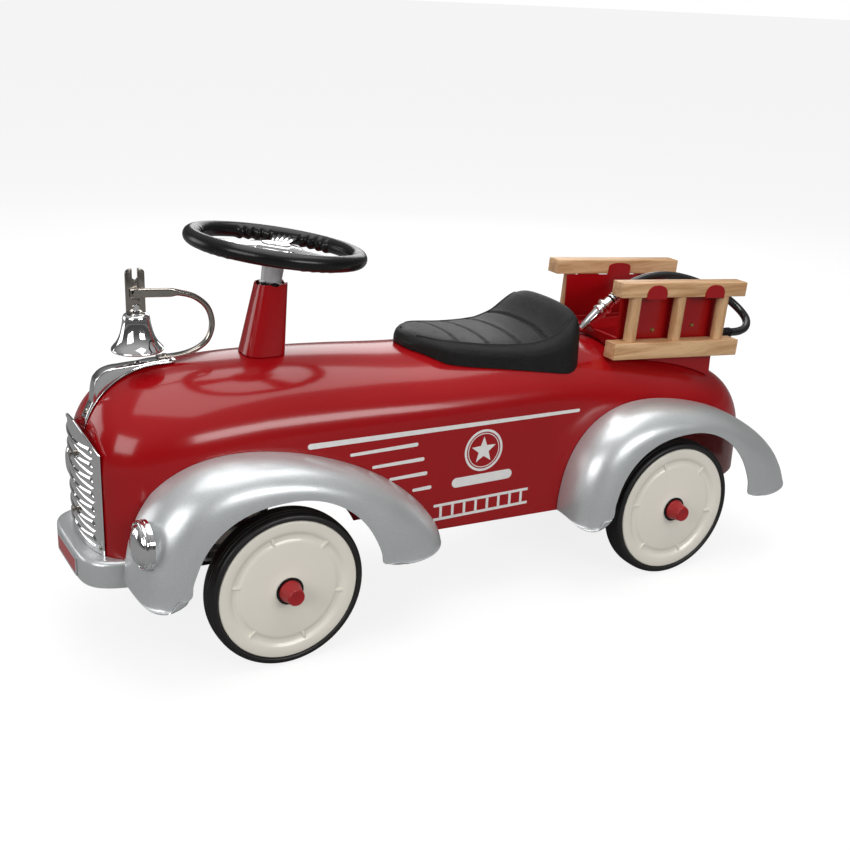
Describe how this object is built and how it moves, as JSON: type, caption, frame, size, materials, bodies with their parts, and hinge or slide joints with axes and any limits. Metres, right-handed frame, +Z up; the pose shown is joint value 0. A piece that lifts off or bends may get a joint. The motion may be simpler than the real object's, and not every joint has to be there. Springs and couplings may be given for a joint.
{
  "type": "foot-to-floor ride-on fire car",
  "caption": "Foot-to-floor metal ride-on fire car with steered front wheels, swinging bell, moulded saddle, rear carrier with lift-off wooden ladders and a hose.",
  "frame": {"origin": "on the ground under the middle of the car's bounding box", "axes": "+Z up, -Y the way the car drives, +X its left side"},
  "size_m": [0.2724, 0.783, 0.3765],
  "materials": {
    "red_paint": "deep red gloss enamel",
    "silver_paint": "metallic silver-grey paint",
    "chrome": "bright chrome plate",
    "zinc_steel": "zinc plate",
    "cream_enamel": "cream gloss",
    "tyre_rubber": "black ribbed rubber",
    "cap_rubber": "satin red rubber",
    "black_plastic": "satin-gloss black",
    "grey_plastic": "light grey moulded",
    "seat_skin": "black leather-grain skin",
    "beech": "clear lacquered pale wood",
    "hose_rubber": "glossy black",
    "plate_red": "plain red plate"
  },
  "bodies": {
    "chassis": {"body_shell": "red_paint", "grille": "chrome", "grille_screw_lower": "zinc_steel", "grille_screw_upper": "zinc_steel", "hood_ornament": "chrome", "bell_arm": "chrome", "bell_bolt": "zinc_steel", "bumper": "silver_paint", "bumper_plate": "plate_red", "front_fender_left": "silver_paint", "front_fender_right": "silver_paint", "rear_fender_left": "silver_paint", "rear_fender_right": "silver_paint", "headlight_left": "chrome", "headlight_right": "chrome", "column_cover": "red_paint", "column_bush": "black_plastic", "seat": "seat_skin", "carrier_tray": "red_paint", "carrier_panel_left": "red_paint", "carrier_panel_right": "red_paint", "hose": "hose_rubber", "hose_nozzle": "chrome", "hose_fitting": "black_plastic", "rear_axle": "zinc_steel", "rear_axle_bracket": "zinc_steel", "front_axle_beam": "zinc_steel"},
    "steering": {"steering_rim": "black_plastic", "steering_spokes": "chrome", "steering_boss": "grey_plastic", "steering_shaft": "zinc_steel"},
    "knuckle_left": {"knuckle_left": "zinc_steel"},
    "knuckle_right": {"knuckle_right": "zinc_steel"},
    "tie_rod": {"tie_rod": "zinc_steel"},
    "bell": {"bell": "chrome", "bell_strap": "chrome"},
    "clapper": {"clapper": "zinc_steel"},
    "wheel_front_left": {"tyre_front_left": "tyre_rubber", "wheel_disc_front_left": "cream_enamel", "hub_cap_front_left": "cap_rubber"},
    "wheel_front_right": {"tyre_front_right": "tyre_rubber", "wheel_disc_front_right": "cream_enamel", "hub_cap_front_right": "cap_rubber"},
    "wheel_rear_left": {"tyre_rear_left": "tyre_rubber", "wheel_disc_rear_left": "cream_enamel", "hub_cap_rear_left": "cap_rubber"},
    "wheel_rear_right": {"tyre_rear_right": "tyre_rubber", "wheel_disc_rear_right": "cream_enamel", "hub_cap_rear_right": "cap_rubber"},
    "ladder_left": {"ladder_top_rail_left": "beech", "ladder_lower_rail_left": "beech", "ladder_rung_front_left": "beech", "ladder_rung_middle_left": "beech", "ladder_rung_rear_left": "beech"},
    "ladder_right": {"ladder_top_rail_right": "beech", "ladder_lower_rail_right": "beech", "ladder_rung_front_right": "beech", "ladder_rung_middle_right": "beech", "ladder_rung_rear_right": "beech"}
  },
  "joints": [
    {"name": "steering_turn", "type": "hinge", "parent": "chassis", "child": "steering", "pos_m": [0, -0.1878, 0.358], "axis": [0, 0.1478, 0.989], "range_deg": [-20, 20]},
    {"name": "kingpin_left_turn", "type": "hinge", "parent": "chassis", "child": "knuckle_left", "pos_m": [0.068, -0.2255, 0.074], "axis": [0, 0, 1], "range_deg": [-20, 20]},
    {"name": "kingpin_right_turn", "type": "hinge", "parent": "chassis", "child": "knuckle_right", "pos_m": [-0.068, -0.2255, 0.074], "axis": [0, 0, 1], "range_deg": [-20, 20]},
    {"name": "tie_rod_pivot", "type": "hinge", "parent": "knuckle_left", "child": "tie_rod", "pos_m": [0.068, -0.2535, 0.0627], "axis": [0, 0, 1], "range_deg": [-20, 20]},
    {"name": "wheel_front_left_spin", "type": "hinge", "parent": "knuckle_left", "child": "wheel_front_left", "pos_m": [0.108, -0.2255, 0.074], "axis": [1, 0, 0], "continuous": true},
    {"name": "wheel_rear_left_spin", "type": "hinge", "parent": "chassis", "child": "wheel_rear_left", "pos_m": [0.108, 0.2135, 0.074], "axis": [1, 0, 0], "continuous": true},
    {"name": "wheel_front_right_spin", "type": "hinge", "parent": "knuckle_right", "child": "wheel_front_right", "pos_m": [-0.108, -0.2255, 0.074], "axis": [1, 0, 0], "continuous": true},
    {"name": "wheel_rear_right_spin", "type": "hinge", "parent": "chassis", "child": "wheel_rear_right", "pos_m": [-0.108, 0.2135, 0.074], "axis": [1, 0, 0], "continuous": true},
    {"name": "bell_swing", "type": "hinge", "parent": "chassis", "child": "bell", "pos_m": [0, -0.3189, 0.326], "axis": [1, 0, 0], "range_deg": [-30, 30]},
    {"name": "clapper_swing", "type": "hinge", "parent": "bell", "child": "clapper", "pos_m": [0, -0.3189, 0.301], "axis": [1, 0, 0], "range_deg": [-20, 20]},
    {"name": "ladder_left_lift", "type": "slide", "parent": "chassis", "child": "ladder_left", "axis": [0, 0.075, 0.9972], "range_m": [0, 0.016]},
    {"name": "ladder_right_lift", "type": "slide", "parent": "chassis", "child": "ladder_right", "axis": [0, 0.075, 0.9972], "range_m": [0, 0.016]}
  ],
  "couplings": [
    {"joint": "kingpin_left_turn", "follows": "steering_turn", "ratio": 1},
    {"joint": "kingpin_right_turn", "follows": "steering_turn", "ratio": 1},
    {"joint": "tie_rod_pivot", "follows": "steering_turn", "ratio": -1}
  ]
}
